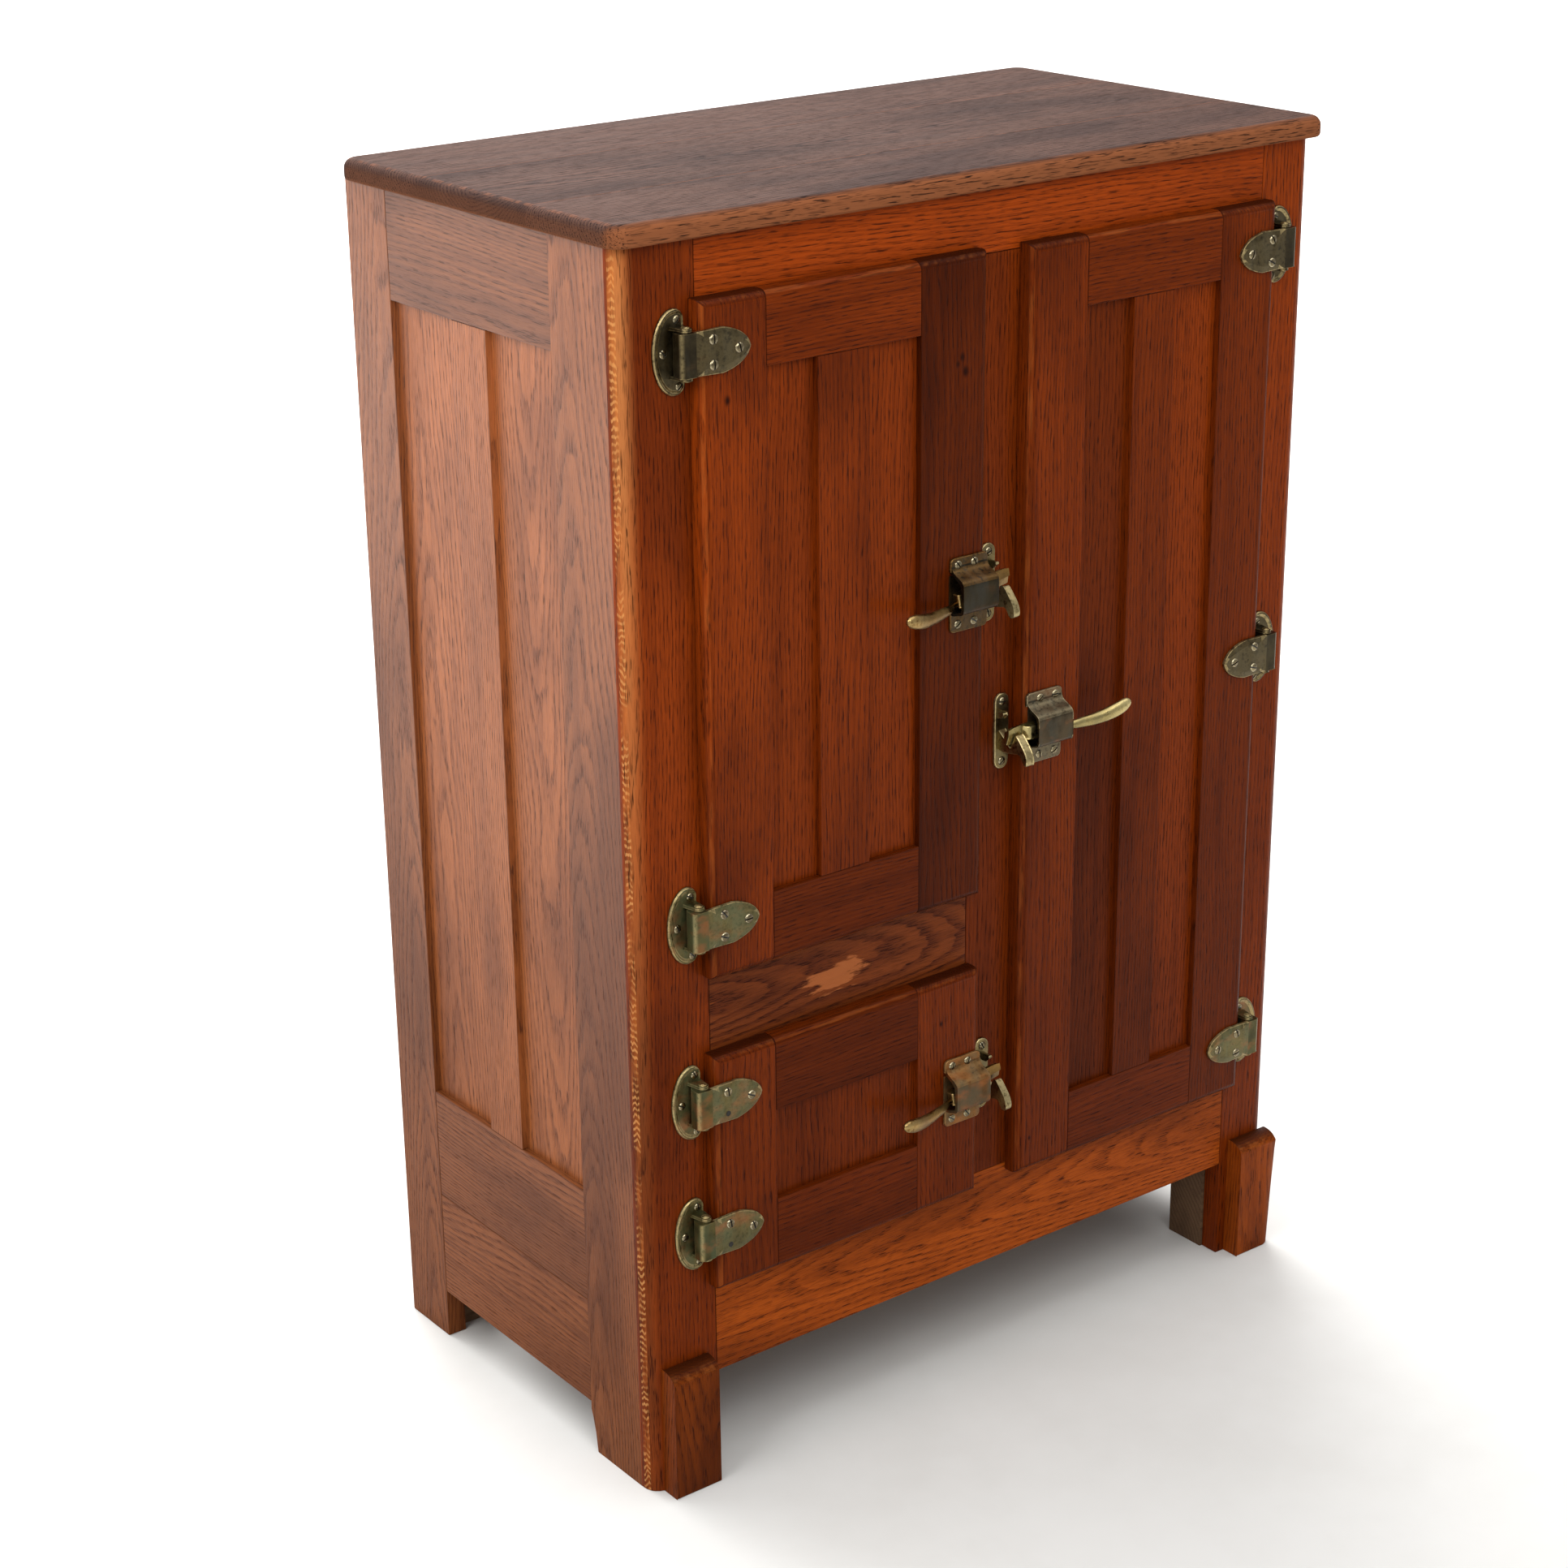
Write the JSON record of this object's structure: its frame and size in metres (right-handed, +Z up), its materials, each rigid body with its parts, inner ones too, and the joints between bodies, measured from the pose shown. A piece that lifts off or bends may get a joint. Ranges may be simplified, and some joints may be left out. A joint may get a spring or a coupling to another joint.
{
  "type": "icebox",
  "caption": "Antique oak icebox with panelled doors over an ice chamber, a small compartment and a tall shelved food side, with brass strap hinges and lever latches.",
  "frame": {"origin": "centre of the bounding box's footprint, on the floor under the feet", "axes": "+X to the right as seen from the front, -Y the front with the doors, +Z up"},
  "size_m": [0.818, 0.4802, 1.1948],
  "materials": {
    "front_oak": "red-brown stained oak under satin varnish",
    "side_oak": "lighter tan-brown stained oak under satin varnish",
    "top_oak": "dark dulled oak with worn edges",
    "raw_wood": "unfinished softwood gone brown",
    "zinc": "dull grey galvanised sheet",
    "zinc_core": "thin galvanised sheet over a filled wooden core",
    "brass": "aged brass with dark and green patina",
    "gasket": "dark felt strip",
    "cork": "packed cork"
  },
  "bodies": {
    "case": {"back_panel": "raw_wood", "bottom_deck": "raw_wood", "center_front_stile": "front_oak", "drain_pipe": "zinc", "food_door_lower_hinge_leaf": "brass", "food_door_middle_hinge_leaf": "brass", "food_door_strike": "brass", "food_door_upper_hinge_leaf": "brass", "food_liner": "zinc", "food_shelf_1": "zinc", "food_shelf_2": "zinc", "food_shelf_3": "zinc", "front_bottom_rail": "front_oak", "front_mid_rail": "front_oak", "front_top_rail": "front_oak", "ice_door_lower_hinge_leaf": "brass", "ice_door_strike": "brass", "ice_door_upper_hinge_leaf": "brass", "ice_liner": "zinc", "ice_rack": "raw_wood", "insulation": "cork", "left_foot_block": "front_oak", "left_front_stile": "front_oak", "left_side_frame": "side_oak", "left_side_panel": "side_oak", "lower_door_lower_hinge_leaf": "brass", "lower_door_strike": "brass", "lower_door_upper_hinge_leaf": "brass", "lower_liner": "zinc", "right_foot_block": "front_oak", "right_front_stile": "front_oak", "right_side_frame": "side_oak", "right_side_panel": "side_oak", "top_board": "top_oak"},
    "ice_door": {"ice_door_core": "zinc_core", "ice_door_frame": "front_oak", "ice_door_gasket": "gasket", "ice_door_latch_cover": "brass", "ice_door_lower_hinge_strap": "brass", "ice_door_panel": "front_oak", "ice_door_upper_hinge_strap": "brass"},
    "lower_door": {"lower_door_core": "zinc_core", "lower_door_frame": "front_oak", "lower_door_gasket": "gasket", "lower_door_latch_cover": "brass", "lower_door_lower_hinge_strap": "brass", "lower_door_panel": "front_oak", "lower_door_upper_hinge_strap": "brass"},
    "food_door": {"food_door_core": "zinc_core", "food_door_frame": "front_oak", "food_door_gasket": "gasket", "food_door_latch_cover": "brass", "food_door_lower_hinge_strap": "brass", "food_door_middle_hinge_strap": "brass", "food_door_panel": "front_oak", "food_door_upper_hinge_strap": "brass"},
    "ice_lever": {"ice_door_latch_lever": "brass"},
    "lower_lever": {"lower_door_latch_lever": "brass"},
    "food_lever": {"food_door_latch_lever": "brass"}
  },
  "joints": [
    {"name": "ice_door_hinge", "type": "hinge", "parent": "case", "child": "ice_door", "pos_m": [-0.343, -0.20745, 0], "axis": [0, 0, -1], "range_deg": [0, 150]},
    {"name": "lower_door_hinge", "type": "hinge", "parent": "case", "child": "lower_door", "pos_m": [-0.343, -0.20745, 0], "axis": [0, 0, -1], "range_deg": [0, 150]},
    {"name": "food_door_hinge", "type": "hinge", "parent": "case", "child": "food_door", "pos_m": [0.351, -0.20745, 0], "axis": [0, 0, 1], "range_deg": [0, 150]},
    {"name": "ice_lever_pivot", "type": "hinge", "parent": "ice_door", "child": "ice_lever", "pos_m": [-0.04, -0.21695, 0.819], "axis": [0, -1, 0], "range_deg": [-12, 10], "stiffness_Nm_per_rad": 0.15},
    {"name": "lower_lever_pivot", "type": "hinge", "parent": "lower_door", "child": "lower_lever", "pos_m": [-0.0415, -0.21695, 0.321], "axis": [0, -1, 0], "range_deg": [-12, 10], "stiffness_Nm_per_rad": 0.15},
    {"name": "food_lever_pivot", "type": "hinge", "parent": "food_door", "child": "food_lever", "pos_m": [0.054, -0.21695, 0.67], "axis": [0, 1, 0], "range_deg": [0, 22], "stiffness_Nm_per_rad": 0.15}
  ]
}
